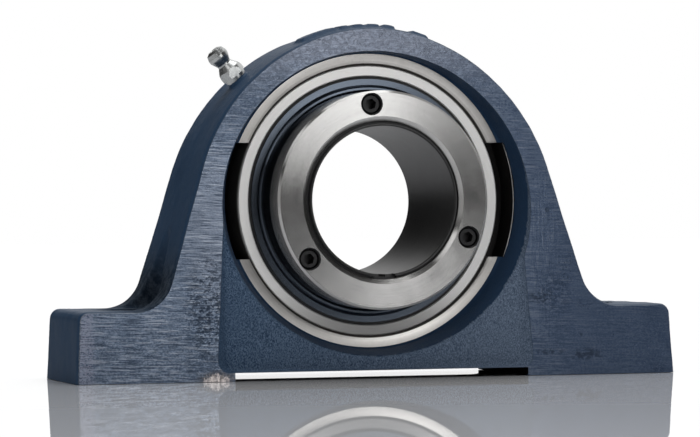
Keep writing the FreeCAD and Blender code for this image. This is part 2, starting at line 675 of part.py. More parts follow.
# --------------------------------------------------------------- inner ring
inner = new_body("inner_ring")
sk = new_sketch(inner, "profile", "YZ_Plane")
il = D["inner_land"]
gi = D["pitch_circle"] - D["ball_radius"] - D["ball_play"] + D["race_radius"]
yi = sqrt(gr_ * gr_ - (gi - il) * (gi - il))
yf, yr = D["inner_front"], D["inner_rear"]
base_r = D["sleeve_base"] + D["step_gap"]
peak_r = base_r + D["step_rise"]
steps = []
for n in range(4):
    y0 = n * D["step_pitch"] - D["step_first"]
    steps += [(y0, base_r), (y0 + D["step_run"], peak_r), (y0 + D["step_pitch"], peak_r)]
pts = [(-yf, il - 0.4), (-(yf - 0.4), il), (-yi, il), (yi, il, gr_, 0, gi.v, True),
       (yr - 0.4, il), (yr, il - 0.4), (yr, base_r + 0.4), (yr - 0.4, base_r)]
last = steps[-1]
pts += [(last[0], base_r)]
for y, r in reversed(steps):
    pts.append((y, r))
    if r is base_r and y.v > -D["step_first"].v + 0.01:
        # step face back to the previous ramp's flat: same y, at the peak radius
        pass
pts += [(-(yf - 0.4), base_r), (-yf, base_r + 0.4)]
# drop duplicate neighbours
clean = []
for p in pts:
    if clean and abs(num(clean[-1][0]) - num(p[0])) < 1e-9 and abs(num(clean[-1][1]) - num(p[1])) < 1e-9:
        continue
    clean.append(p)
outline(sk, clean)
revolve(inner, "turned", sk)

# ----------------------------------------------------------------- flingers
for s, label in ((-1, "front_flinger"), (1, "rear_flinger")):
    b = new_body(label)
    sk = new_sketch(b, "profile", "YZ_Plane")
    k = (lambda q: -dim(q)) if s < 0 else (lambda q: dim(q))
    hub = il
    outline(sk, [(k(9.25), hub), (k(9.25), 33.3), (k(9.95), 33.8), (k(9.95), 34.7), (k(9.05), 35.2),
                 (k(9.05), 37.3), (k(9.7), 37.3), (k(9.7), 35.5), (k(10.75), 35.0), (k(11.05), 34.6),
                 (k(11.05), 34.0), (k(10.75), 33.6), (k(10.0), 33.2), (k(10.0), 30.5), (k(12.2), 30.3), (k(12.2), hub)])
    revolve(b, "pressed", sk)

# --------------------------------------------------------------------- cage
cage = new_body("cage")
sk = new_sketch(cage, "profile", "YZ_Plane")
outline(sk, [(-7.4, 30.9), (-7.4, 34.2), (3.2, 34.2), (3.2, 30.9)])
revolve(cage, "ring", sk)
DOC.recompute()
v0 = cage.Shape.Volume
# radial pockets, open at the rear, one for each ball
sk = new_sketch(cage, "pocket_profile", "YZ_Plane", lift=D["pitch_circle"] + 7.5)
circle(sk, 0, 0, D["ball_radius"] + 0.12)
pk = extrude(cage, "ball_pocket", sk, 15.0, cut=True)
cage.Tip = pk
v1 = volume_drop(cage, pk, v0)
pol = cage.newObject("PartDesign::PolarPattern", "ball_pockets")
pol.Originals = [pk]
pol.Axis = (plane(cage, "Y_Axis"), [""])
pol.Angle = 360.0
pol.Occurrences = 10
cage.Tip = pol
volume_drop(cage, pol, v1)

# -------------------------------------------------------------------- balls
for n in range(10):
    b = DOC.addObject("Part::Sphere", "ball_%02d" % (n + 1))
    b.Label = "ball_%02d" % (n + 1)
    b.setExpression("Radius", D["ball_radius"].t)
    a = math.radians(36.0 * n)
    b.Placement = FreeCAD.Placement(V(D["pitch_circle"].v * math.cos(a), 0,
                                      D["pitch_circle"].v * math.sin(a)), FreeCAD.Rotation())
    PARTS.append(b)

# ------------------------------------------------------------------- sleeve
sleeve = new_body("stepped_sleeve")
sk = new_sketch(sleeve, "profile", "YZ_Plane")
sb, bo = D["sleeve_base"], D["bore_radius"]
sp = sb + D["step_rise"]
F, Rr = D["sleeve_front"], D["sleeve_rear"]
pts = [(-F, bo + 0.3), (-F, 23.0), (-F + 0.2, 23.15), (-24.1, 23.15), (-24.1, 22.95), (-22.75, 22.95), (-22.75, sb)]
for n in range(4):
    y0 = n * D["step_pitch"] - D["step_first"]
    pts += [(y0, sb), (y0 + D["step_run"], sp), (y0 + D["step_run"] + 0.05, sb)]
pts += [(Rr - 0.3, sb), (Rr, sb - 0.3), (Rr, bo + 0.3), (Rr - 0.3, bo), (-F + 0.5, bo)]
outline(sk, pts)
revolve(sleeve, "turned", sk)
DOC.recompute()
v0 = sleeve.Shape.Volume
sk = new_sketch(sleeve, "slit_profile", "XY_Plane", lift=-15.0)
sw = D["slit"] / 2
outline(sk, [(-sw, -40.0), (sw, -40.0), (sw, 40.0), (-sw, 40.0)])
sc = extrude(sleeve, "slit_cut", sk, 20.0, cut=True, reverse=False)
sleeve.Tip = sc
v1 = volume_drop(sleeve, sc, v0)
sk = new_sketch(sleeve, "notch_profile", "XY_Plane", lift=-15.0)
nw = D["notch"] / 2
outline(sk, [(-nw, -40.0), (nw, -40.0), (nw, -22.6), (-nw, -22.6)])
nc = extrude(sleeve, "notch_cut", sk, 20.0, cut=True, reverse=False)
sleeve.Tip = nc
volume_drop(sleeve, nc, v1)

# ------------------------------------------------------------------- collar
collar = new_body("mounting_collar")
sk = new_sketch(collar, "profile", "YZ_Plane")
cf, cr, co = D["collar_front"], D["collar_rear"], D["collar_outer"]
cm, cb = D["collar_mouth"], D["collar_bore"]
outline(sk, [
    (-cf, cm + 1.35), (-cf, co - 0.7), (-(cf - 0.6), co), (-(cr + 0.6), co), (-cr, co - 0.6),
    (-cr, cb + 0.5), (-(cr + 0.5), cb), (-22.75, cb), (-22.75, cm), (-(cf - 0.8), cm)])
revolve(collar, "turned", sk)
DOC.recompute()
v0 = collar.Shape.Volume
sc_, sr, spl = D["screw_circle"], D["screw_radius"], D["screw_play"]
a0 = math.radians(D["screw_first"].v)
hole_r = sr + spl
# one screw hole with its mouth chamfer, then three round the axis
sk = new_sketch(collar, "screw_hole_profile", "XY_Plane",
                lift=0.0, shift=(0.0, 0.0))
x0 = sc_
outline(sk, [(x0, -(cf + 1)), (x0 + hole_r + 0.4, -(cf + 1)), (x0 + hole_r + 0.4, -cf),
             (x0 + hole_r, -(cf - 0.45)), (x0 + hole_r, -(cr - 1)), (x0, -(cr - 1))])
axis_line = sk.addGeometry(Part.LineSegment(V(x0.v, -40, 0), V(x0.v, 0, 0)), True)
sk.addConstraint(C("Vertical", axis_line))
hold(sk, axis_line, 1, x0, -40.0)
hole = revolve(collar, "screw_hole", sk, axis="Axis0", cut=True)
collar.Tip = hole
v1 = volume_drop(collar, hole, v0)
pol = collar.newObject("PartDesign::PolarPattern", "screw_holes")
pol.Originals = [hole]
pol.Axis = (plane(collar, "Y_Axis"), [""])
pol.Angle = 360.0
pol.Occurrences = 3
collar.Tip = pol
v2 = volume_drop(collar, pol, v1)
# locating tab in the sleeve's notch; the collar's own frame is turned so that
# the first hole stands at its angle, so the tab is drawn at the angle that
# ends up at the bottom
sk = new_sketch(collar, "tab_profile", "XZ_Plane", lift=22.75,
                turn=-90.0 - D["screw_first"].v)
tw = 3.1
outline(sk, [(23.25, -tw), (24.6, -tw), (24.6, tw), (23.25, tw)])
tab = extrude(collar, "tab", sk, 1.9)
collar.Tip = tab
DOC.recompute()
if not collar.Shape.Volume > v2 + 1:
    raise RuntimeError("tab adds nothing")
collar.Placement = FreeCAD.Placement(V(0, 0, 0), FreeCAD.Rotation(V(0, 1, 0), -D["screw_first"].v))

# ----------------------------------------------------------- retaining ring
rring = new_body("collar_retaining_ring")
sk = new_sketch(rring, "profile", "YZ_Plane")
outline(sk, [(-23.95, 23.0), (-23.95, 23.85), (-23.75, 23.98), (-22.75, 23.98), (-22.75, 23.0)])
revolve(rring, "turned", sk)
DOC.recompute()
v0 = rring.Shape.Volume
sk = new_sketch(rring, "gap_profile", "XY_Plane", lift=-15.0)
outline(sk, [(-4.3, -40.0), (4.3, -40.0), (4.3, 0.5), (-4.3, 0.5)])
gp = extrude(rring, "gap_cut", sk, 20.0, cut=True, reverse=False)
rring.Tip = gp
volume_drop(rring, gp, v0)

# -------------------------------------------------------------- grub screws
for n in range(3):
    b = new_body("grub_screw_%d" % (n + 1))
    sk = new_sketch(b, "profile", "YZ_Plane")
    tip = -14.22
    head = -24.3
    outline(sk, [(head, 0), (head, sr - 0.45), (head + 0.45, sr), (tip - 1.0, sr), (tip, 2.15), (tip, 0)])
    revolve(b, "turned", sk)
    DOC.recompute()
    v0 = b.Shape.Volume
    sk = new_sketch(b, "socket", "XZ_Plane", lift=-head)
    k = 1.5 / math.cos(math.pi / 6)
    outline(sk, [(k * math.cos(math.radians(60 * j + 15)), k * math.sin(math.radians(60 * j + 15))) for j in range(6)])
    so = extrude(b, "socket_cut", sk, 3.6, cut=True, reverse=False)
    b.Tip = so
    volume_drop(b, so, v0)
    a = math.radians(D["screw_first"].v + 120.0 * n)
    b.Placement = FreeCAD.Placement(V(sc_.v * math.cos(a), 0, sc_.v * math.sin(a)), FreeCAD.Rotation())

# -------------------------------------------------------------------- check
DOC.recompute()
for o in DOC.Objects:
    if "Invalid" in o.State or "Error" in o.State:
        raise RuntimeError("%s is %s" % (o.Name, o.State))
os.makedirs("parts", exist_ok=True)
for p in PARTS:
    s = p.Shape
    if s.isNull() or not s.isValid() or s.Volume <= 0 or not s.Solids:
        raise RuntimeError("bad shape: " + p.Label)
for p in PARTS:
    p.Shape.exportStep(os.path.join("parts", p.Label + ".step"))
    bb = p.Shape.BoundBox
    print("%-22s solids %d  volume %9.1f  x %7.2f %7.2f  y %7.2f %7.2f  z %7.2f %7.2f" % (
        p.Label, len(p.Shape.Solids), p.Shape.Volume, bb.XMin, bb.XMax, bb.YMin, bb.YMax, bb.ZMin, bb.ZMax))
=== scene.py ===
import math

import bmesh
import bpy
import numpy as np
from mathutils import Matrix, Vector


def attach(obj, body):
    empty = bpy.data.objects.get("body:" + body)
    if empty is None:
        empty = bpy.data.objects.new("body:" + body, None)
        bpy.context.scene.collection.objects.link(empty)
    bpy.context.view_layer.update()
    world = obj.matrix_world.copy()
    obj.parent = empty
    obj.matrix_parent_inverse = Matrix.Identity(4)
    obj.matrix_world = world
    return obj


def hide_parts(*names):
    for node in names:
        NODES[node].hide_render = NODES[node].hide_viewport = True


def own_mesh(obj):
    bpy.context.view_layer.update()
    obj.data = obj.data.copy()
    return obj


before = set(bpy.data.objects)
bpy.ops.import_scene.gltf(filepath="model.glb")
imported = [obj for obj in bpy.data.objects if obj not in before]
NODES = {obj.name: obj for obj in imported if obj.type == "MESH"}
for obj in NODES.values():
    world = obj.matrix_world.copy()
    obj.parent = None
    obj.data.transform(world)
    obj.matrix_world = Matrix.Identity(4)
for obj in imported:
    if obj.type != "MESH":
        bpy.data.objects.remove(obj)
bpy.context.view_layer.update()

# Pillow block bearing. Row frame: origin at the centre of the spherical seat,
# +Y along the shaft away from the collar, +X along the base, +Z up, metres.

SCENE = bpy.context.scene

# ---------------------------------------------------------------- camera
CAM = dict(at=(-0.30433, -1.01206, -0.00596), yaw=16.55, pitch=0.30, roll=-0.43,
           focal_px=3413.68, px=348.68, py=202.17)


def make_camera():
    yaw, pitch, roll = (math.radians(CAM[k]) for k in ("yaw", "pitch", "roll"))
    fwd = Vector((math.sin(yaw) * math.cos(pitch), math.cos(yaw) * math.cos(pitch), math.sin(pitch)))
    right = Vector((math.cos(yaw), -math.sin(yaw), 0.0))
    up = right.cross(fwd)
    r2 = right * math.cos(roll) + up * math.sin(roll)
    u2 = -right * math.sin(roll) + up * math.cos(roll)
    cam = bpy.data.objects.new("camera", bpy.data.cameras.new("camera"))
    cam.data.sensor_width = 36.0
    cam.data.sensor_fit = "HORIZONTAL"
    cam.data.lens = CAM["focal_px"] * 36.0 / 700.0
    cam.data.shift_x = (350.0 - CAM["px"]) / 700.0
    cam.data.shift_y = (CAM["py"] - 218.5) / 700.0
    cam.data.clip_start = 0.01
    cam.data.clip_end = 50.0
    m = Matrix((r2, u2, -fwd)).transposed().to_4x4()
    m.translation = Vector(CAM["at"])
    cam.matrix_world = m
    SCENE.collection.objects.link(cam)
    SCENE.camera = cam


make_camera()

# ------------------------------------------------------------- node helper


class Mat:
    """A node material, built with short calls. Sockets and numbers mix freely."""

    def __init__(self, name):
        self.m = bpy.data.materials.new(name)
        self.m.use_nodes = True
        self.t = self.m.node_tree
        self.t.nodes.clear()
        self.out = self.t.nodes.new("ShaderNodeOutputMaterial")
        self.p = self.t.nodes.new("ShaderNodeBsdfPrincipled")
        self.t.links.new(self.p.outputs[0], self.out.inputs[0])
        self._obj = None
        self._xyz = None

    def put(self, socket, value):
        if isinstance(value, bpy.types.NodeSocket):
            self.t.links.new(value, socket)
        elif isinstance(value, (tuple, list)) and len(value) == 3 and socket.type == "RGBA":
            socket.default_value = (*value, 1.0)
        else:
            socket.default_value = value

    def set(self, **kw):
        names = dict(color="Base Color", metallic="Metallic", rough="Roughness", normal="Normal",
                     aniso="Anisotropic", aniso_rot="Anisotropic Rotation", tangent="Tangent",
                     spec="Specular IOR Level", coat="Coat Weight", coat_rough="Coat Roughness",
                     ior="IOR", sheen="Sheen Weight")
        for k, v in kw.items():
            self.put(self.p.inputs[names[k]], v)
        return self.m

    def n(self, kind, **props):
        node = self.t.nodes.new("ShaderNode" + kind)
        for k, v in props.items():
            setattr(node, k, v)
        return node

    def obj(self):
        if self._obj is None:
            self._obj = self.n("TexCoord").outputs["Object"]
        return self._obj

    def xyz(self):
        if self._xyz is None:
            s = self.n("SeparateXYZ")
            self.put(s.inputs[0], self.obj())
            self._xyz = s.outputs
        return self._xyz

    def math(self, op, a, b=0.0, c=None, clamp=False):
        node = self.n("Math", operation=op, use_clamp=clamp)
        self.put(node.inputs[0], a)
        self.put(node.inputs[1], b)
        if c is not None:
            self.put(node.inputs[2], c)
        return node.outputs[0]

    def add(self, a, b): return self.math("ADD", a, b)
    def sub(self, a, b): return self.math("SUBTRACT", a, b)
    def mul(self, a, b): return self.math("MULTIPLY", a, b)

    def span(self, v, a, b, lo=0.0, hi=1.0, smooth=False):
        node = self.n("MapRange", interpolation_type="SMOOTHSTEP" if smooth else "LINEAR")
        for i, x in enumerate((v, a, b, lo, hi)):
            self.put(node.inputs[i], x)
        return node.outputs[0]

    def scaled(self, sx, sy, sz, vec=None, shift=(0.0, 0.0, 0.0)):
        node = self.n("Mapping")
        self.put(node.inputs["Vector"], vec if vec is not None else self.obj())
        node.inputs["Scale"].default_value = (sx, sy, sz)
        node.inputs["Location"].default_value = shift
        return node.outputs[0]

    def noise(self, scale, detail=3.0, rough=0.55, vec=None, distort=0.0, dims="3D", w=None):
        node = self.n("TexNoise", noise_dimensions=dims)
        if dims == "1D":
            self.put(node.inputs["W"], w)
        else:
            self.put(node.inputs["Vector"], vec if vec is not None else self.obj())
        node.inputs["Scale"].default_value = scale
        node.inputs["Detail"].default_value = detail
        node.inputs["Roughness"].default_value = rough
        node.inputs["Distortion"].default_value = distort
        return node.outputs[0]

    def voronoi(self, scale, vec=None, feature="F1", rand=1.0):
        node = self.n("TexVoronoi", feature=feature)
        self.put(node.inputs["Vector"], vec if vec is not None else self.obj())
        node.inputs["Scale"].default_value = scale
        node.inputs["Randomness"].default_value = rand
        return node.outputs[0]

    def mix(self, f, a, b):
        node = self.n("Mix", data_type="RGBA")
        self.put(node.inputs[0], f)
        self.put(node.inputs[6], a)
        self.put(node.inputs[7], b)
        return node.outputs[2]

    def fmix(self, f, a, b):
        node = self.n("Mix", data_type="FLOAT")
        self.put(node.inputs[0], f)
        self.put(node.inputs[2], a)
        self.put(node.inputs[3], b)
        return node.outputs[0]

    def ramp(self, f, stops):
        node = self.n("ValToRGB")
        e = node.color_ramp.elements
        while len(e) < len(stops):
            e.new(0.5)
        for k, (pos, col) in enumerate(stops):
            e[k].position = pos
            e[k].color = (*col, 1.0) if len(col) == 3 else col
        self.put(node.inputs[0], f)
        return node.outputs[0]

    def bump(self, height, strength=1.0, distance=0.001, normal=None):
        node = self.n("Bump")
        node.inputs["Strength"].default_value = strength
        node.inputs["Distance"].default_value = distance
        self.put(node.inputs["Height"], height)
        if normal is not None:
            self.put(node.inputs["Normal"], normal)
        return node.outputs[0]

    def vec(self, a, b, c):
        node = self.n("CombineXYZ")
        for i, v in enumerate((a, b, c)):
            self.put(node.inputs[i], v)
        return node.outputs[0]

    def region(self, cx, cz, rx, rz, soft=0.6):
        """1 inside an ellipse on the XZ plane (metres), fading out at its rim."""
        x, y, z = self.xyz()
        u = self.mul(self.sub(x, cx), 1.0 / rx)
        v = self.mul(self.sub(z, cz), 1.0 / rz)
        d = self.math("SQRT", self.add(self.mul(u, u), self.mul(v, v)))
        return self.span(d, 1.0 - soft, 1.0 + soft * 0.4, 1.0, 0.0, smooth=True)

    def attr(self, name):
        return self.n("Attribute", attribute_name=name).outputs["Fac"]

    def radius(self, cx=0.0, cz=0.0):
        """Distance from the shaft axis, in metres."""
        x, y, z = self.xyz()
        if cx or cz:
            x, z = self.sub(x, cx), self.sub(z, cz)
        return self.math("SQRT", self.add(self.mul(x, x), self.mul(z, z)))


# --------------------------------------------------------------- materials


def turned_steel(name, base, tint, rough, aniso=0.6, line=0.6, pitch=5200.0, cloud=0.05, wear=0.0, dish=0.0,
                 painted_shade=None, metallic=1.0):
    """Lathe-turned steel: fine rings round the shaft axis, slight clouding. dish
    leans the end faces outwards like a worn grinding; the shade mask paints
    shade dark into the gaps between parts and onto the low side of a ring."""
    k = Mat(name)
    r = k.radius()
    x, y, z = k.xyz()
    along = k.add(r, k.mul(y, 0.73))           # also varies along the axis on cylinders
    warp = k.mul(k.noise(70.0, 2.0), 0.00010)
    w = k.add(along, warp)
    fine = k.noise(pitch, 3.0, 0.65, dims="1D", w=w)
    broad = k.noise(620.0, 2.0, 0.5, dims="1D", w=w)
    spots = k.noise(160.0, 4.0, 0.6)
    grime = k.noise(900.0, 3.0, 0.7)
    v = k.add(k.mul(k.sub(fine, 0.5), 0.30), k.mul(k.sub(broad, 0.5), 0.22))
    v = k.add(v, k.mul(k.sub(spots, 0.5), cloud * 4))
    v = k.add(v, k.mul(k.sub(grime, 0.5), min(0.10, cloud * 2.0)))
    f = k.math("ADD", v, 0.5, clamp=True)
    col = k.mix(f, tint, base)
    if wear:
        dots = k.span(k.noise(1500.0, 2.0, 0.5), 0.70, 0.76, smooth=True)
        col = k.mix(k.mul(dots, wear), col, (0.05, 0.045, 0.04))
    h = k.add(k.mul(fine, 0.6), k.mul(broad, 0.4))
    rr = k.math("ADD", k.mul(k.sub(spots, 0.5), min(0.10, cloud * 1.6)), rough, clamp=True)
    rr = k.add(rr, k.mul(k.sub(fine, 0.5), 0.08))
    # painted shade: the mask darkens gaps between parts and low sides, and roughens them
    if painted_shade:
        dark = painted_shade(k, r, x, y, z)
        col = k.mix(dark, col, (0.012, 0.009, 0.007))
        rr = k.add(rr, k.mul(dark, 0.3))
    tan = k.n("Tangent", direction_type="RADIAL", axis="Y").outputs[0]
    nrm = k.bump(h, line, 0.000012)
    if dish:
        nrm = k.bump(k.mul(r, -dish), 1.0, 1.0, normal=nrm)
    return k.set(color=col, metallic=metallic, rough=rr, normal=nrm,
                 aniso=aniso, aniso_rot=0.25, tangent=tan)


def plain_metal(name, base, tint, rough, metallic=1.0, grain=1800.0, depth=0.00002, strength=0.5):
    k = Mat(name)
    a = k.noise(grain, 4.0, 0.6)
    b = k.noise(220.0, 3.0, 0.55)
    f = k.math("ADD", k.add(k.mul(k.sub(a, 0.5), 0.8), k.mul(k.sub(b, 0.5), 0.9)), 0.5, clamp=True)
    rr = k.math("ADD", k.mul(k.sub(b, 0.5), 0.2), rough, clamp=True)
    return k.set(color=k.mix(f, tint, base), metallic=metallic, rough=rr,
                 normal=k.bump(a, strength, depth))


def rubber(name):
    k = Mat(name)
    a = k.noise(2600.0, 3.0, 0.6)
    r = k.noise(3000.0, 2.0, dims="1D", w=k.radius())
    col = k.mix(a, (0.012, 0.012, 0.013), (0.03, 0.03, 0.032))
    return k.set(color=col, rough=k.span(a, 0.3, 0.7, 0.5, 0.68), normal=k.bump(k.add(a, r), 0.5, 0.00003))


def polyamide(name):
    k = Mat(name)
    a = k.noise(1400.0, 4.0, 0.6)
    b = k.noise(120.0, 2.0)
    col = k.mix(b, (0.035, 0.034, 0.03), (0.06, 0.058, 0.05))
    return k.set(color=col, rough=k.span(a, 0.3, 0.7, 0.38, 0.52), normal=k.bump(a, 0.4, 0.00004))


def cast_paint(name):
    """Navy enamel over a sand casting. Vertex masks say where the edges of the
    ground faces, the recessed panels and the recess walls are."""
    k = Mat(name)
    x, y, z = k.xyz()
    edge, panel, wall = k.attr("zone_face"), k.attr("zone_panel"), k.attr("zone_wall")
    mid = k.noise(110.0, 4.0, 0.6)
    pebble = k.noise(1.0, 2.0, 0.6, vec=k.scaled(3300.0, 3300.0, 2100.0))
    grain = k.noise(3200.0, 2.0, 0.5)
    crust = k.noise(420.0, 4.0, 0.7)
    corner = k.region(-0.0680, -0.0280, 0.0150, 0.0150, soft=0.9)

    navy = k.mix(mid, (0.0190, 0.0440, 0.0880), (0.0340, 0.0700, 0.1300))
    dots = k.span(pebble, 0.36, 0.68)
    blue = k.mix(dots, (0.0110, 0.0320, 0.0720), (0.1150, 0.1800, 0.2800))
    # painted light: the panel turns lighter and greyer towards the right
    blue = k.mix(k.span(x, -0.05, 0.04, 0.0, 0.55), blue, k.mix(dots, (0.0800, 0.1080, 0.1550), (0.2300, 0.2750, 0.3500)))
    # painted shade: the recess wall gets a darker navy than the rest
    wall_shade = k.mix(mid, (0.0140, 0.0350, 0.0760), (0.0230, 0.0520, 0.1050))
    rough_spot = k.mix(k.span(crust, 0.42, 0.62), (0.0070, 0.0130, 0.0230), (0.0480, 0.0620, 0.0820))
    col = k.mix(panel, navy, blue)
    col = k.mix(wall, col, wall_shade)
    rough_spot = k.mix(edge, rough_spot, (0.0050, 0.0100, 0.0200))
    col = k.mix(k.mul(corner, 0.90), col, rough_spot)
    rim = k.mul(k.mul(edge, k.sub(1.0, corner)), k.span(k.noise(700.0, 3.0, 0.6), 0.3, 0.6, 0.25, 0.85))
    col = k.mix(rim, col, (0.0560, 0.0780, 0.1120))
    # painted highlight: light marks along the top edge of each foot, broken up like scuffs
    edge_glint_scuff = k.mul(k.mul(edge, k.span(z, -0.0315, -0.0345)), k.span(k.math("ABSOLUTE", x), 0.0700, 0.0760))
    edge_glint_scuff = k.mul(edge_glint_scuff, k.span(k.noise(1.0, 3.0, 0.65, vec=k.scaled(300.0, 1500.0, 1500.0)), 0.44, 0.58, 0.0, 0.75))
    col = k.mix(edge_glint_scuff, col, (0.4200, 0.4300, 0.4500))

    rr = k.fmix(panel, 0.50, 0.44)
    rr = k.add(rr, k.mul(corner, 0.40))
    rr = k.math("ADD", rr, k.mul(k.sub(mid, 0.5), 0.16), clamp=True)
    peel = k.add(k.mul(pebble, 0.7), k.mul(grain, 0.3))
    amount = k.add(k.mul(panel, 0.42), k.add(0.40, k.mul(corner, 0.5)))
    n1 = k.bump(k.mul(peel, amount), 1.0, 0.00034)
    n2 = k.bump(k.mul(crust, corner), 0.8, 0.0006, normal=n1)
    return k.set(color=col, rough=rr, normal=n2, spec=0.14)


def ground_paint(name):
    """Enamel on the flat ground faces: fine lines along X, mottled and scuffed,
    chipped to bare iron at the lower edge beside the left end of the relief."""
    k = Mat(name)
    x, y, z = k.xyz()
    big = k.noise(24.0, 3.0, 0.55)
    mid = k.noise(130.0, 4.0, 0.62)
    grain = k.noise(1.0, 3.0, 0.62, vec=k.scaled(1500.0, 1500.0, 2300.0))
    blots = k.noise(1.0, 4.0, 0.68, vec=k.scaled(620.0, 620.0, 900.0))

    # grinding lines: short and slightly tilted along X, some upright on the right leg
    zt = k.add(z, k.add(k.mul(x, 0.035), k.mul(big, 0.0016)))
    lines_a = k.noise(1.0, 2.0, 0.55, vec=k.vec(k.mul(x, 95.0), 0.0, k.mul(zt, 2000.0)))
    lines_b = k.noise(1.0, 2.0, 0.55, vec=k.vec(k.mul(x, 210.0), 3.0, k.mul(zt, 3200.0)))
    lines_c = k.noise(1.0, 4.0, 0.6, vec=k.vec(k.mul(x, 1700.0), 7.0, k.mul(z, 130.0)))
    upright = k.region(0.0530, -0.0180, 0.0060, 0.0300)
    lines = k.fmix(k.mul(upright, 0.45), k.add(k.mul(lines_a, 0.55), k.mul(lines_b, 0.45)), lines_c)
    dark_line = k.span(lines, 0.39, 0.49, 1.0, 0.0, smooth=True)
    light_line = k.span(lines, 0.51, 0.61, 0.0, 1.0, smooth=True)

    # a lighter patch on the upper left leg, painted sheen, and where dark blots cover the lines
    sheen_patch = k.region(-0.0510, -0.0080, 0.0110, 0.0260)
    arch = k.span(z, 0.012, 0.034, 0.0, 1.0, smooth=True)
    foot = k.span(z, -0.0330, -0.0420, 0.0, 1.0, smooth=True)
    spotty = k.math("MAXIMUM", k.region(-0.0530, -0.0330, 0.0090, 0.0180), k.mul(foot, 0.30))
    spotty = k.math("MAXIMUM", spotty, k.mul(arch, 0.30))
    spotty = k.math("MAXIMUM", spotty, k.mul(k.region(0.0560, -0.0290, 0.0060, 0.0080), 0.9))
    line_amount = k.sub(1.0, k.add(k.mul(arch, 0.50), k.mul(foot, 0.10)))
    line_amount = k.mul(line_amount, k.span(x, 0.0560, 0.0680, 1.0, 0.45, smooth=True))

    speck = k.span(k.add(grain, k.mul(k.sub(mid, 0.5), 0.35)), 0.40, 0.60, smooth=True)
    calm = k.mul(k.sub(1.0, spotty), 0.55)
    speck = k.fmix(calm, speck, 0.5)
    tone = k.mix(speck, (0.0300, 0.0560, 0.1040), (0.1950, 0.2500, 0.3400))
    # painted sheen: the upper left leg is lighter
    tone = k.mix(k.mul(sheen_patch, 0.45), tone, (0.2100, 0.2400, 0.3000))
    tone = k.mix(k.mul(k.mul(light_line, line_amount), 0.80), tone, (0.3300, 0.3700, 0.4400))
    tone = k.mix(k.mul(k.mul(dark_line, line_amount), 0.85), tone, (0.0190, 0.0340, 0.0640))
    blot = k.mul(k.span(blots, 0.49, 0.57, smooth=True), spotty)
    tone = k.mix(k.mul(blot, 0.80), tone, (0.0120, 0.0240, 0.0480))
    haze = k.span(k.noise(60.0, 4.0, 0.6), 0.52, 0.72, smooth=True)
    tone = k.mix(k.mul(haze, 0.30), tone, (0.0380, 0.0560, 0.0900))
    tone = k.mix(k.mul(k.region(-0.0380, 0.0300, 0.0150, 0.0200), 0.30), tone, (0.0250, 0.0420, 0.0760))
    # painted light: the top of the arch is lighter
    tone = k.mix(k.mul(k.span(z, 0.030, 0.050, 0.0, 1.0, smooth=True), 0.45), tone, (0.2800, 0.2950, 0.3500))
    # painted shade: the faces turn darker plain navy towards the right
    tone = k.mix(k.span(x, 0.005, 0.065, 0.0, 0.74, smooth=True), tone, (0.0270, 0.0500, 0.1020))
    # painted highlight: a light speckled band along the left edge of the ground face
    left_edge_glint = k.mul(k.span(x, -0.0905, -0.0885, 0.65, 0.0, smooth=True), k.span(grain, 0.38, 0.60))
    tone = k.mix(left_edge_glint, tone, (0.2400, 0.2500, 0.3300))

    # small blisters and smudges on the right leg and foot
    cells = k.voronoi(1100.0)
    blister = k.mul(k.span(cells, 0.18, 0.34, 1.0, 0.0, smooth=True), k.region(0.0590, -0.0225, 0.0032, 0.0058))
    smudge = k.math("MAXIMUM", k.region(0.0515, -0.0300, 0.0046, 0.0022),
                    k.math("MAXIMUM", k.region(0.0540, -0.0468, 0.0046, 0.0011), k.region(0.0655, -0.0478, 0.0060, 0.0020)))
    smudge = k.mul(smudge, k.span(blots, 0.40, 0.56, smooth=True))
    dots = k.span(k.voronoi(95.0), 0.055, 0.085, 1.0, 0.0, smooth=True)
    tone = k.mix(k.mul(k.math("MAXIMUM", blister, k.math("MAXIMUM", smudge, k.mul(dots, 0.7))), 0.8),
                 tone, (0.0100, 0.0210, 0.0440))

    # bare iron where the paint is chipped at the lower edge
    cx, cy, cz = CHIP
    dx, dy, dz = k.sub(x, cx), k.sub(y, cy), k.sub(z, cz)
    d = k.math("SQRT", k.add(k.add(k.mul(k.mul(dx, dx), 0.22), k.mul(k.mul(dy, dy), 0.5)), k.mul(dz, dz)))
    ragged = k.add(d, k.mul(k.sub(k.noise(1.0, 4.0, 0.7, vec=k.scaled(1300.0, 900.0, 1000.0)), 0.5), 0.0040))
    chip = k.span(ragged, 0.00110, 0.00230, 1.0, 0.0, smooth=True)
    worn = k.mul(k.region(-0.0455, -0.0512, 0.0022, 0.0013), k.span(grain, 0.36, 0.60, 0.3, 0.9))
    rim = k.span(ragged, 0.0020, 0.0036, 1.0, 0.0, smooth=True)
    tone = k.mix(k.mul(rim, 0.6), tone, (0.0450, 0.0420, 0.0440))
    bare = k.mix(k.span(k.noise(1.0, 3.0, 0.7, vec=k.scaled(2300.0, 900.0, 800.0)), 0.36, 0.58), (0.11, 0.100, 0.100), (0.86, 0.78, 0.76))
    tone = k.mix(worn, tone, (0.3400, 0.3400, 0.3500))
    tone = k.mix(chip, tone, bare)

    rr = k.math("ADD", k.add(0.30, k.mul(blot, 0.20)), k.mul(k.sub(mid, 0.5), 0.18), clamp=True)
    h = k.add(k.mul(lines, line_amount), k.add(k.mul(grain, 0.35), k.mul(blot, -0.5)))
    return k.set(color=tone, metallic=0.40, rough=rr, normal=k.bump(h, 0.9, 0.00014), spec=0.4)


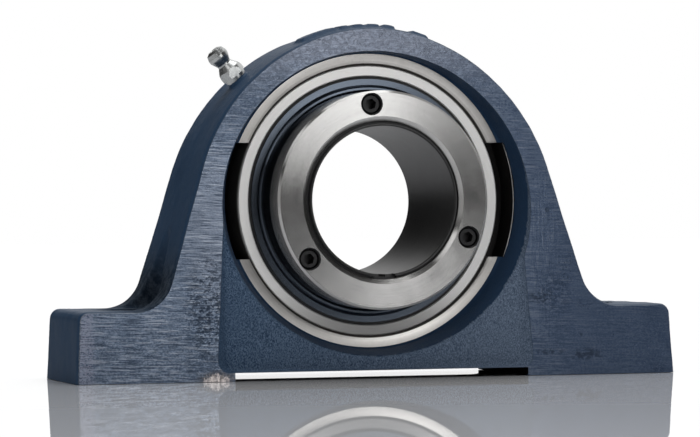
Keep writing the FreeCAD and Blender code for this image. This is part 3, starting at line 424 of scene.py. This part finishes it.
CHIP = (-0.0520, -0.0240, -0.0535)
M_PAINT = cast_paint("navy_cast_enamel")
M_FACE = ground_paint("ground_face_enamel")
# painted shade: the seat inside the ring faces, behind the outer ring, is darkened
M_SEAT = turned_steel("bored_iron", (0.74, 0.725, 0.70), (0.13, 0.12, 0.112), 0.31, aniso=0.85, line=1.8, pitch=1500.0,
                      cloud=0.06, wear=0.25,
                      painted_shade=lambda k, r, x, y, z: k.mul(k.span(k.math("ABSOLUTE", y), 0.01005, 0.0102, 0.88, 0.0),
                                                        k.span(r, 0.0441, 0.0443, 1.0, 0.0)))
# painted shade: the loading slots' walls are near black
M_SLOT_SHADE = plain_metal("slot_wall_painted_shade", (0.0090, 0.0070, 0.0060), (0.0040, 0.0030, 0.0026), 0.62, metallic=0.0, grain=900.0,
                    depth=0.0001)
# painted shade: the relief's roof and walls under the block are near black, without specular
M_UNDER_SHADE = plain_metal("underside_painted_shade", (0.0080, 0.0085, 0.0090), (0.0040, 0.0042, 0.0045), 0.90, metallic=0.0,
                      grain=700.0, depth=0.0001)
M_UNDER_SHADE.node_tree.nodes["Principled BSDF"].inputs["Specular IOR Level"].default_value = 0.0
# painted shade: the outer ring's rim in the gap to the seat and its lower part are darkened
M_OUTER = turned_steel("ground_ring_steel", (0.94, 0.93, 0.91), (0.84, 0.83, 0.81), 0.42, aniso=0.20, line=0.6,
                       pitch=2600.0, cloud=0.012, wear=0.03, dish=0.015, metallic=0.55,
                       painted_shade=lambda k, r, x, y, z: k.math("MAXIMUM", k.span(r, 0.04145, 0.0417, 0.0, 0.9),
                                                          k.span(z, -0.024, -0.0415, 0.0, 0.50, smooth=True)))
M_COLLAR = turned_steel("turned_collar_steel", (0.53, 0.525, 0.515), (0.31, 0.305, 0.30), 0.22, aniso=0.88, line=0.8,
                        pitch=2600.0, cloud=0.13, wear=0.35)
# painted shade: the sleeve is near black so that the bore reads dark
M_SLEEVE_SHADE = turned_steel("sleeve_steel_painted_shade", (0.052, 0.052, 0.052), (0.020, 0.020, 0.020), 0.40, aniso=0.5, line=1.6, metallic=0.3,
                        pitch=4200.0, cloud=0.04)
M_INNER = turned_steel("bearing_steel", (0.70, 0.69, 0.68), (0.52, 0.51, 0.50), 0.26, aniso=0.4, line=0.5)
M_FLINGER = turned_steel("pressed_flinger_steel", (0.115, 0.135, 0.165), (0.062, 0.075, 0.095), 0.22, aniso=0.7, line=0.35,
                         cloud=0.05)
M_BLACK = plain_metal("black_oxide_and_painted_shade", (0.016, 0.016, 0.017), (0.006, 0.006, 0.007), 0.42, metallic=0.3)
# bare worn iron, made near white as painted highlight on the slot edge
M_WORN_GLINT = plain_metal("worn_edge_iron_glint", (0.86, 0.85, 0.83), (0.50, 0.49, 0.48), 0.45, metallic=0.15)
M_BALL = plain_metal("polished_ball_steel", (0.80, 0.80, 0.81), (0.66, 0.66, 0.68), 0.08, grain=400.0, depth=0.000002)
M_ZINC = plain_metal("dull_zinc", (0.60, 0.61, 0.60), (0.22, 0.23, 0.235), 0.30, grain=1000.0, depth=0.00012)
M_SPRING = plain_metal("spring_wire", (0.50, 0.50, 0.50), (0.34, 0.34, 0.34), 0.3, grain=2500.0)
M_RUBBER = rubber("seal_rubber_black")
M_CAGE = polyamide("cage_polyamide")

FINISH = {"grease_nipple_body": M_ZINC, "nipple_check_ball": M_BALL, "nipple_spring": M_SPRING,
          "outer_ring": M_OUTER, "inner_ring": M_INNER, "front_seal": M_RUBBER, "rear_seal": M_RUBBER,
          "front_flinger": M_FLINGER, "rear_flinger": M_FLINGER, "cage": M_CAGE, "stepped_sleeve": M_SLEEVE_SHADE,
          "mounting_collar": M_COLLAR, "collar_retaining_ring": M_BLACK}
for name, node in NODES.items():
    mat = FINISH.get(name)
    if mat is None:
        mat = M_BLACK if name.startswith("grub") else M_BALL if name.startswith("ball") else None
    if mat is not None:
        for s in node.material_slots:
            s.material = mat

# The mouths of the three screw holes and the collar's bore just behind its front face are black: painted shade.
_collar = NODES["mounting_collar"]
_collar.data.materials.append(M_BLACK)
for poly in _collar.data.polygons:
    mid = _collar.matrix_world @ poly.center
    for turn in (97.0, 217.0, 337.0):
        hx, hz = 0.0293 * math.cos(math.radians(turn)), 0.0293 * math.sin(math.radians(turn))
        if math.hypot(mid.x - hx, mid.z - hz) < 0.00347 or (math.hypot(mid.x, mid.z) < 0.02395 and -0.0248 < mid.y
                                                             < -0.0226):
            poly.material_index = len(_collar.data.materials) - 1

# ---------------------------------------------------------- mesh utilities


def new_object(name, verts, faces):
    me = bpy.data.meshes.new(name)
    me.from_pydata([tuple(v) for v in verts], [], faces)
    me.update()
    ob = bpy.data.objects.new(name, me)
    SCENE.collection.objects.link(ob)
    return ob


def lathe(name, profile, segments=288):
    """Closed solid of revolution about Y from a closed (y, r) profile."""
    verts, faces, rings = [], [], []
    for y, r in profile:
        if r < 1e-9:
            rings.append([len(verts)])
            verts.append((0.0, y, 0.0))
        else:
            rings.append(list(range(len(verts), len(verts) + segments)))
            for k in range(segments):
                a = 2 * math.pi * k / segments
                verts.append((r * math.cos(a), y, r * math.sin(a)))
    n = len(profile)
    for i in range(n):
        a, b = rings[i], rings[(i + 1) % n]
        if len(a) == 1 and len(b) == 1:
            continue
        for k in range(segments):
            k2 = (k + 1) % segments
            if len(a) == 1:
                faces.append((a[0], b[k2], b[k]))
            elif len(b) == 1:
                faces.append((a[k], a[k2], b[0]))
            else:
                faces.append((a[k], a[k2], b[k2], b[k]))
    ob = new_object(name, verts, faces)
    fix_normals(ob)
    return ob


def prism(name, outline, axis, lo, hi):
    """Closed prism of a planar outline. axis Y: outline is (x, z); Z: (x, y); X: (y, z)."""
    n = len(outline)
    pts = []
    for t in (lo, hi):
        for u, v in outline:
            pts.append({"X": (t, u, v), "Y": (u, t, v), "Z": (u, v, t)}[axis])
    faces = [tuple(range(n)), tuple(range(2 * n - 1, n - 1, -1))]
    faces += [(k, k + n, (k + 1) % n + n, (k + 1) % n) for k in range(n)]
    ob = new_object(name, pts, faces)
    fix_normals(ob)
    return ob


def fix_normals(ob):
    bm = bmesh.new()
    bm.from_mesh(ob.data)
    bmesh.ops.recalc_face_normals(bm, faces=bm.faces)
    if bm.calc_volume(signed=True) < 0:
        bmesh.ops.reverse_faces(bm, faces=bm.faces)
    bm.to_mesh(ob.data)
    bm.free()


def baked(ob):
    dg = bpy.context.evaluated_depsgraph_get()
    me = bpy.data.meshes.new_from_object(ob.evaluated_get(dg))
    ob.modifiers.clear()
    old = ob.data
    ob.data = me
    bpy.data.meshes.remove(old)
    return ob


def boolean(ob, tool, kind):
    m = ob.modifiers.new("b", "BOOLEAN")
    m.operation = kind
    m.solver = "MANIFOLD"
    m.object = tool
    baked(ob)
    bpy.data.objects.remove(tool)
    if not len(ob.data.polygons):
        raise RuntimeError("boolean left nothing")
    return ob


def co_of(me):
    a = np.empty(len(me.vertices) * 3, np.float32)
    me.vertices.foreach_get("co", a)
    return a.reshape(-1, 3).astype(np.float64)


# ----------------------------------------------------------- smooth noise
_rng = np.random.default_rng(20461)
_perm = np.concatenate([_rng.permutation(256)] * 3)
_grad = _rng.normal(size=(256, 3))
_grad /= np.linalg.norm(_grad, axis=1)[:, None]


def noise3(p):
    """Gradient noise of points, about -1 to 1."""
    i = np.floor(p).astype(int)
    f = p - i
    u = f * f * f * (f * (f * 6 - 15) + 10)
    i &= 255
    total = np.zeros(len(p))
    for dx in (0, 1):
        for dy in (0, 1):
            for dz in (0, 1):
                h = _perm[_perm[_perm[(i[:, 0] + dx) & 255] + ((i[:, 1] + dy) & 255)] + ((i[:, 2] + dz) & 255)]
                g = _grad[h]
                d = f - np.array([dx, dy, dz])
                w = (u[:, 0] if dx else 1 - u[:, 0]) * (u[:, 1] if dy else 1 - u[:, 1]) * (u[:, 2] if dz else 1 - u[:, 2])
                total += w * (g * d).sum(1)
    return total * 1.6


def step(v, a, b):
    t = np.clip((v - a) / (b - a), 0, 1)
    return t * t * (3 - 2 * t)


# ---------------------------------------------------------------- housing
# All in millimetres here; scaled to metres at the end.
SEAT_HALF, RING_R, MOUTH_R, SEAT_R, GROOVE_R = 10.3, 45.0, 42.27, 42.55, 43.8
LEAN = math.tan(math.radians(4.29))
VOXEL = 0.62


def CHANNEL(y):
    """Height of the relief's roof at depth y."""
    return -54.0 + 2.55 + (1.0 - 2.55) * (y + 24.66) / 49.32


def stadium(cx, half, r, n=20):
    pts = []
    for s, c in ((1, cx + half), (-1, cx - half)):
        for k in range(n + 1):
            a = -math.pi / 2 + math.pi * k / n
            pts.append((c + s * r * math.cos(a), s * r * math.sin(a)))
    return pts


def make_housing():
    src = NODES["housing_casting"]
    bm = bmesh.new()
    bm.from_mesh(src.data)
    bmesh.ops.transform(bm, matrix=Matrix.Scale(1000.0, 4), verts=bm.verts)
    bmesh.ops.remove_doubles(bm, verts=bm.verts, dist=2e-4)
    me = bpy.data.meshes.new("housing_shell")
    bm.to_mesh(me)
    bm.free()
    me.materials.clear()
    ob = bpy.data.objects.new("housing_shell", me)
    SCENE.collection.objects.link(ob)

    # Stock on the front and back faces. It is ground off after the remesh.
    bm = bmesh.new()
    bm.from_mesh(ob.data)
    for s in (1, -1):
        flat_faces = [f for f in bm.faces
                      if all(abs(s * v.co.y - (24.0 - LEAN * (v.co.z + 54.0))) < 2e-3 for v in f.verts)]
        grown = bmesh.ops.extrude_face_region(bm, geom=flat_faces)["geom"]
        bmesh.ops.translate(bm, vec=(0, s * 2.6, 0), verts=[g for g in grown if isinstance(g, bmesh.types.BMVert)])
        left = [f for f in flat_faces if f.is_valid]
        if left:
            bmesh.ops.delete(bm, geom=left, context="FACES_ONLY")
    under = [f for f in bm.faces if all(abs(v.co.z + 54.0) < 2e-3 for v in f.verts)]
    grown = bmesh.ops.extrude_face_region(bm, geom=under)["geom"]
    bmesh.ops.translate(bm, vec=(0, 0, -2.6), verts=[g for g in grown if isinstance(g, bmesh.types.BMVert)])
    left = [f for f in under if f.is_valid]
    if left:
        bmesh.ops.delete(bm, geom=left, context="FACES_ONLY")
    bm.to_mesh(ob.data)
    bm.free()

    # Fill what is machined later, so that the casting can be remeshed on its own.
    plugs = [lathe("plug", [(-10.45, 0), (-10.45, 46.9), (10.45, 46.9), (10.45, 0)], 128)]
    for s in (1, -1):
        plugs.append(prism("plug", [(s * 71.75 - 12.5, -8.2), (s * 71.75 + 12.5, -8.2), (s * 71.75 + 12.5, 8.2),
                                    (s * 71.75 - 12.5, 8.2)], "Z", -56.4, -32.7))
    plugs.append(prism("plug", [(-46.9, -19.5), (46.9, -19.5), (46.9, 19.5), (-46.9, 19.5)], "Z", -56.4, -50.6))
    # nipple hole and duct
    rot = Matrix.Translation((-39.3, 0, 37.9)) @ Matrix.Rotation(-math.radians(41.0), 4, "Y")
    turn = Matrix.Rotation(math.radians(90.0), 4, "X")     # lathe axis Y to the nipple's own Z
    duct = lathe("plug", [(-12.0, 0), (-12.0, 3.3), (-0.15, 3.3), (-0.15, 0)], 32)
    duct.data.transform(rot @ turn)
    plugs.append(duct)
    for p in plugs:
        fix_normals(p)
    bm = bmesh.new()
    bm.from_mesh(ob.data)
    for p in plugs:
        bm.from_mesh(p.data)
        bpy.data.objects.remove(p)
    bm.to_mesh(ob.data)
    bm.free()

    m = ob.modifiers.new("remesh", "REMESH")
    m.mode = "VOXEL"
    m.voxel_size = VOXEL
    m.adaptivity = 0.0
    baked(ob)
    m = ob.modifiers.new("soft", "SMOOTH")
    m.factor = 0.5
    m.iterations = 3
    baked(ob)

    # Slight unevenness of a sand casting.
    me = ob.data
    p = co_of(me)
    nrm = np.empty(len(me.vertices) * 3, np.float32)
    me.vertices.foreach_get("normal", nrm)
    nrm = nrm.reshape(-1, 3).astype(np.float64)
    r = np.hypot(p[:, 0], p[:, 2])
    near_seat = (1 - step(r, 45.5, 48.0)) * (1 - step(np.abs(p[:, 1]), 11.0, 14.0))
    low = step(p[:, 2], -55.0, -52.5)
    face_d = (24.0 - LEAN * (p[:, 2] + 54.0)) - np.abs(p[:, 1])
    on_face = 1 - step(face_d, 0.3, 1.2)
    side = 1 - on_face
    big = noise3(p / 19.0) * 0.17 + noise3(p / 8.5 + 17.0) * 0.09
    mid = noise3(p / 3.6 + 41.0) * 0.045
    fine = noise3(p / 1.55 + 77.0) * 0.022
    d = (big + mid) * (0.6 + 0.4 * side) + fine
    d *= low * (1 - near_seat)
    p = p + nrm * d[:, None]
    p[:, 0] -= np.sign(p[:, 0]) * 0.0003 * (p[:, 1] + 12.0) ** 2 * step(np.abs(p[:, 0]), 87.0, 94.0)   # bowed ends
    me.vertices.foreach_set("co", p.astype(np.float32).ravel())
    me.update()

    # Machining: base, spherical seat with its ring faces, slots, bolt slots, nipple flat.
    boolean(ob, prism("base", [(-99, -40), (99, -40), (99, 40), (-99, 40)], "Z", -64.0, -54.0), "DIFFERENCE")
    for s in (1, -1):
        lo, hi = (s * (24.0 - LEAN * (z + 54.0)) for z in (-62.0, 70.0))
        boolean(ob, prism("grind", [(lo, -62.0), (hi, 70.0), (s * 45.0, 70.0), (s * 45.0, -62.0)], "X", -99.0, 99.0),
                "DIFFERENCE")
    boolean(ob, prism("relief", [(-45.0, -60.0), (45.0, -60.0), (45.0, CHANNEL(45.0)), (-45.0, CHANNEL(-45.0))], "X",
                      -46.4, 46.4), "DIFFERENCE")
    yc = SEAT_HALF - 0.75
    rc = math.sqrt(SEAT_R ** 2 - yc ** 2)
    prof = [(-13.0, 0.0), (-13.0, RING_R), (-SEAT_HALF, RING_R), (-SEAT_HALF, MOUTH_R), (-yc, rc)]
    for k in range(1, 9):
        y = -yc + (yc - 2.5) * k / 9.0
        prof.append((y, math.sqrt(SEAT_R ** 2 - y * y)))
    rg = math.sqrt(SEAT_R ** 2 - 2.5 ** 2)
    prof += [(-2.5, rg), (-2.5, GROOVE_R), (2.5, GROOVE_R), (2.5, rg)]
    for k in range(8, 0, -1):
        y = yc - (yc - 2.5) * k / 9.0
        prof.append((y, math.sqrt(SEAT_R ** 2 - y * y)))
    prof += [(yc, rc), (SEAT_HALF, MOUTH_R), (SEAT_HALF, RING_R), (13.0, RING_R), (13.0, 0.0)]
    boolean(ob, lathe("seat", prof, 360), "DIFFERENCE")
    for s in (1, -1):
        a = math.asin(17.7 / 46.3)
        arc = [(s * 46.3 * math.cos(a * (k / 12.0)), 46.3 * math.sin(a * (k / 12.0))) for k in range(-12, 13)]
        boolean(ob, prism("slot", [(s * 34.0, -17.7)] + arc + [(s * 34.0, 17.7)], "Y", -14.0, 0.0), "DIFFERENCE")
        boolean(ob, prism("bolt", stadium(s * 71.75, 4.25, 7.0), "Z", -60.0, -20.0), "DIFFERENCE")
    flat = lathe("flat", [(-6.2, 0), (-6.2, 3.0), (0.0, 3.0), (0.0, 5.6), (9.0, 5.6), (9.0, 0)], 64)
    flat.data.transform(rot @ turn)
    fix_normals(flat)
    boolean(ob, flat, "DIFFERENCE")

    # Zones and materials from where each face lies.
    me = ob.data
    p = co_of(me)
    ay = np.abs(p[:, 1])
    face_d = (24.0 - LEAN * (p[:, 2] + 54.0)) - ay
    r = np.hypot(p[:, 0], p[:, 2])
    face = 1.0 - step(face_d, 0.02, 0.55)
    panel = ((face_d > 0.02) & (ay > 18.9) & (p[:, 0] > -53.0) & (p[:, 0] < 49.5) & (p[:, 2] < 14)
             & (p[:, 2] > -52.5)).astype(float)
    wall = ((face_d > 0.62) & (panel < 0.5) & (r < 53.0) & (ay < 22.0) & (p[:, 2] > -51.5)
            & (np.abs(p[:, 0] / (45.2 + np.maximum(ay - 10.5, 0) * 0.36)) ** 2
               + (p[:, 2] / (44.8 + np.maximum(ay - 10.5, 0) * 0.17)) ** 2 > 0.93)
            & (np.abs(p[:, 0] / (46.6 + np.maximum(ay - 10.5, 0) * 0.36)) ** 2
               + ((p[:, 2] + 0.08 * np.maximum(ay - 10.5, 0)) / (46.2 + np.maximum(ay - 10.5, 0) * 0.17)) ** 2 < 1.08)).astype(float)
    for nm, v in (("zone_face", face), ("zone_panel", panel), ("zone_wall", wall)):
        at = me.attributes.new(nm, "FLOAT", "POINT")
        at.data.foreach_set("value", v.astype(np.float32))
    c = np.empty(len(me.polygons) * 3, np.float32)
    me.polygons.foreach_get("center", c)
    c = c.reshape(-1, 3).astype(np.float64)
    fr = np.hypot(c[:, 0], c[:, 2])
    cy = np.abs(c[:, 1])
    idx = np.zeros(len(c), np.int32)
    idx[(fr < RING_R + 0.03) & (cy < SEAT_HALF + 0.02)] = 1
    in_slot = (np.abs(c[:, 2]) < 17.72) & (c[:, 1] < 0.01) & (c[:, 1] > -14.0) & (fr > SEAT_R + 0.1) & (fr < 46.34) & (np.abs(c[:, 0]) > 34)
    edge_slot = (np.abs(np.abs(c[:, 2]) - 17.7) < 0.03) & (c[:, 1] < 0.01) & (c[:, 1] > -12.5) & (fr > 41.5) & (fr < 46.34) & (np.abs(c[:, 0]) > 34)
    # painted shade: near-black slot walls
    idx[in_slot & (cy < 12.4)] = 2
    idx[edge_slot] = 2
    inv = (rot @ Matrix.Identity(4)).inverted()
    ca = math.cos(math.radians(41.0)), math.sin(math.radians(41.0))
    q = c - np.array([-39.3, 0, 37.9])
    lz = -q[:, 0] * ca[1] + q[:, 2] * ca[0]
    lx = q[:, 0] * ca[0] + q[:, 2] * ca[1]
    lr = np.hypot(lx, q[:, 1])
    idx[(np.abs(lz) < 0.02) & (lr < 5.62)] = 1
    idx[(lz < 0.02) & (lz > -6.3) & (lr < 3.02)] = 1
    fn = np.empty(len(me.polygons) * 3, np.float32)
    me.polygons.foreach_get("normal", fn)
    fn = np.abs(fn.reshape(-1, 3)[:, 1])
    idx[(np.abs(24.0 - LEAN * (c[:, 2] + 54.0) - cy) < 0.06) & (fn > 0.99)] = 4
    idx[np.abs(c[:, 2] + 54.0) < 0.01] = 3
    # painted shade under the block
    idx[(np.abs(c[:, 0]) < 46.45) & (c[:, 2] > -53.99) & (c[:, 2] < CHANNEL(c[:, 1]) + 0.004)] = 5
    me.materials.clear()
    for mt in (M_PAINT, M_SEAT, M_SLOT_SHADE, M_BASE, M_FACE, M_UNDER_SHADE):
        me.materials.append(mt)
    me.polygons.foreach_set("material_index", idx)
    me.shade_smooth()
    me.set_sharp_from_angle(angle=math.radians(55.0))
    me.transform(Matrix.Scale(0.001, 4))
    me.update()
    m = ob.modifiers.new("even", "WEIGHTED_NORMAL")
    m.keep_sharp = True
    m.weight = 90
    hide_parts("housing_casting")
    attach(ob, "housing")
    return ob




def slot_burr(side):
    """Thin worn bare edge where a loading slot breaks out through the recess wall, made near white as a painted
    highlight.
    """
    verts, faces, ring = [], [], 8
    n = 40
    a = math.asin(17.6 / 46.3)
    for k in range(n + 1):
        t = -a + 2 * a * k / n
        w = 0.15 * min(1.0, 0.25 + 6.0 * min(k, n - k) / n)
        for q in range(ring):
            u = 2 * math.pi * q / ring
            r = 46.28 + w * math.cos(u)
            verts.append((side * r * math.cos(t) * 0.001, (-11.55 + w * math.sin(u)) * 0.001, r * math.sin(t) * 0.001))
    for k in range(n):
        for q in range(ring):
            q2 = (q + 1) % ring
            faces.append((k * ring + q, (k + 1) * ring + q, (k + 1) * ring + q2, k * ring + q2))
    faces += [tuple(range(ring)), tuple(n * ring + q for q in reversed(range(ring)))]
    ob = new_object("slot_edge_%s" % ("right" if side > 0 else "left"), verts, faces)
    fix_normals(ob)
    ob.data.materials.append(M_WORN_GLINT)
    ob.data.shade_smooth()
    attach(ob, "housing")


M_BASE = plain_metal("ground_base_iron", (0.30, 0.29, 0.28), (0.18, 0.17, 0.165), 0.42, grain=700.0, depth=0.00005)


def make_spring():
    """The valve spring, copied from the nipple's spring and riding on the housing."""
    src = NODES["nipple_spring"]
    me = src.data.copy()
    me.transform(src.matrix_world)
    me.materials.clear()
    me.materials.append(M_SPRING)
    ob = bpy.data.objects.new("valve_spring", me)
    SCENE.collection.objects.link(ob)
    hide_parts("nipple_spring")
    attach(ob, "housing")
    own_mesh(ob)


HOUSING = make_housing()
slot_burr(1)
make_spring()

# ------------------------------------------------------------------ stage


def make_stage():
    bpy.ops.mesh.primitive_plane_add(size=12.0, location=(0, 0, -0.0541))
    floor = bpy.context.object
    floor.name = "floor"
    k = Mat("pale_floor")
    a = k.noise(3.0, 2.0)
    col = k.mix(a, (0.88, 0.89, 0.92), (0.92, 0.93, 0.95))
    floor.data.materials.append(k.set(color=col, rough=0.015, ior=1.45))

    w = bpy.data.worlds.new("studio")
    SCENE.world = w
    w.use_nodes = True
    t = w.node_tree
    t.nodes.clear()
    out = t.nodes.new("ShaderNodeOutputWorld")
    bg = t.nodes.new("ShaderNodeBackground")
    t.links.new(bg.outputs[0], out.inputs[0])
    geo = t.nodes.new("ShaderNodeTexCoord")
    sep = t.nodes.new("ShaderNodeSeparateXYZ")
    t.links.new(geo.outputs["Generated"], sep.inputs[0])

    def m(op, a, b=None, clamp=False):
        n = t.nodes.new("ShaderNodeMath")
        n.operation = op
        n.use_clamp = clamp
        for i, v in enumerate((a, b)):
            if v is None:
                continue
            if isinstance(v, bpy.types.NodeSocket):
                t.links.new(v, n.inputs[i])
            else:
                n.inputs[i].default_value = v
        return n.outputs[0]

    def smooth(v, a, b):
        n = t.nodes.new("ShaderNodeMapRange")
        n.interpolation_type = "SMOOTHSTEP"
        t.links.new(v, n.inputs[0])
        n.inputs[1].default_value, n.inputs[2].default_value = a, b
        return n.outputs[0]

    x, y, z = sep.outputs
    az = m("ARCTAN2", x, y)                       # 0 at +Y, positive towards +X
    back = m("MULTIPLY", smooth(az, math.radians(-4.0), math.radians(6.0)),
             m("SUBTRACT", 1.0, smooth(az, math.radians(70.0), math.radians(110.0))))
    top = smooth(z, 0.35, 0.9)
    level = m("ADD", 0.03, m("MULTIPLY", back, 1.05))
    level = m("ADD", level, m("MULTIPLY", top, 0.10))
    left = m("MULTIPLY", smooth(az, math.radians(-160.0), math.radians(-148.0)),
             m("SUBTRACT", 1.0, smooth(az, math.radians(-98.0), math.radians(-86.0))))
    left = m("MULTIPLY", left, m("SUBTRACT", 1.0, smooth(m("ABSOLUTE", z), 0.16, 0.34)))
    level = m("ADD", level, m("MULTIPLY", left, 0.55))
    lp = t.nodes.new("ShaderNodeLightPath")
    mix = t.nodes.new("ShaderNodeMix")
    mix.data_type = "FLOAT"
    t.links.new(lp.outputs["Is Camera Ray"], mix.inputs[0])
    t.links.new(level, mix.inputs[2])
    mix.inputs[3].default_value = 1.0
    t.links.new(mix.outputs[0], bg.inputs["Strength"])
    bg.inputs["Color"].default_value = (1, 1, 1, 1)


def area(name, at, look, size, size_y, power, color=(1, 1, 1)):
    d = bpy.data.lights.new(name, "AREA")
    d.shape = "RECTANGLE"
    d.size, d.size_y = size, size_y
    d.energy = power
    d.color = color
    o = bpy.data.objects.new(name, d)
    o.location = at
    v = Vector(look) - Vector(at)
    o.rotation_euler = v.to_track_quat("-Z", "Y").to_euler()
    o.visible_camera = False
    SCENE.collection.objects.link(o)
    return o


make_stage()
area("near_front", (0.1425, -0.62, 0.385), (0.1425, 0, 0.385), 0.185, 0.71, 1.32)
area("key_left", (-0.75, -0.75, 0.75), (0, 0, 0), 0.6, 0.6, 2.3)
area("top", (0.0, 0.1, 1.2), (0, 0, 0), 0.9, 0.9, 7.2)

SCENE.view_settings.view_transform = "Standard"
SCENE.view_settings.look = "None"
SCENE.cycles.use_denoising = True
